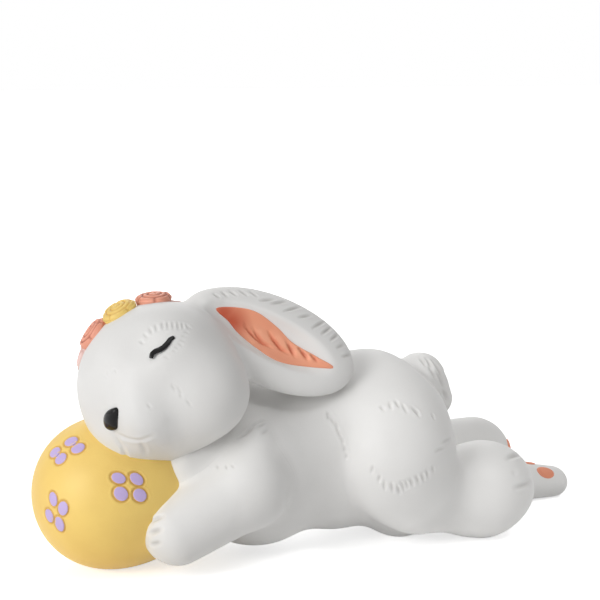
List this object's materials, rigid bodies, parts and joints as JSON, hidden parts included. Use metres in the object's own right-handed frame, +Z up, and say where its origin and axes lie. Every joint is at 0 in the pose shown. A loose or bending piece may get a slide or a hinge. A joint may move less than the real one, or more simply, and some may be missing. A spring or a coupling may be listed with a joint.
{
  "type": "hare figurine",
  "caption": "Painted figurine of a rabbit asleep on its front, head and paws on a flowered egg, with floppy ears and a crown of roses; a shelf ornament.",
  "frame": {"origin": "on the shelf, under the middle of the figure's bounding box", "axes": "+X from the head to the stretched hind foot, -Y to the rabbit's left side, +Z up"},
  "size_m": [0.2024, 0.0706, 0.0873],
  "materials": {
    "white_paint": "matt white paint on cast resin, incised with short fur strokes",
    "yellow_paint": "satin warm yellow paint on cast resin, with petals pressed in",
    "coral_paint": "matt coral paint",
    "cream_paint": "matt soft yellow paint",
    "blush_paint": "matt pale pink paint",
    "lavender_paint": "satin lavender paint on the egg's petals",
    "black_gloss": "gloss black paint"
  },
  "bodies": {
    "root": {"torso": "white_paint", "head": "white_paint", "nose": "black_gloss", "left_ear": "white_paint", "right_ear": "white_paint", "left_foreleg": "white_paint", "right_foreleg": "white_paint", "left_hind_foot": "white_paint", "right_hind_foot": "white_paint", "tail": "white_paint", "egg": "yellow_paint", "rose_1": "coral_paint", "rose_2": "cream_paint", "rose_3": "coral_paint", "rose_4": "blush_paint", "rose_5": "cream_paint", "rose_6": "coral_paint", "rosebud": "blush_paint"}
  },
  "joints": []
}
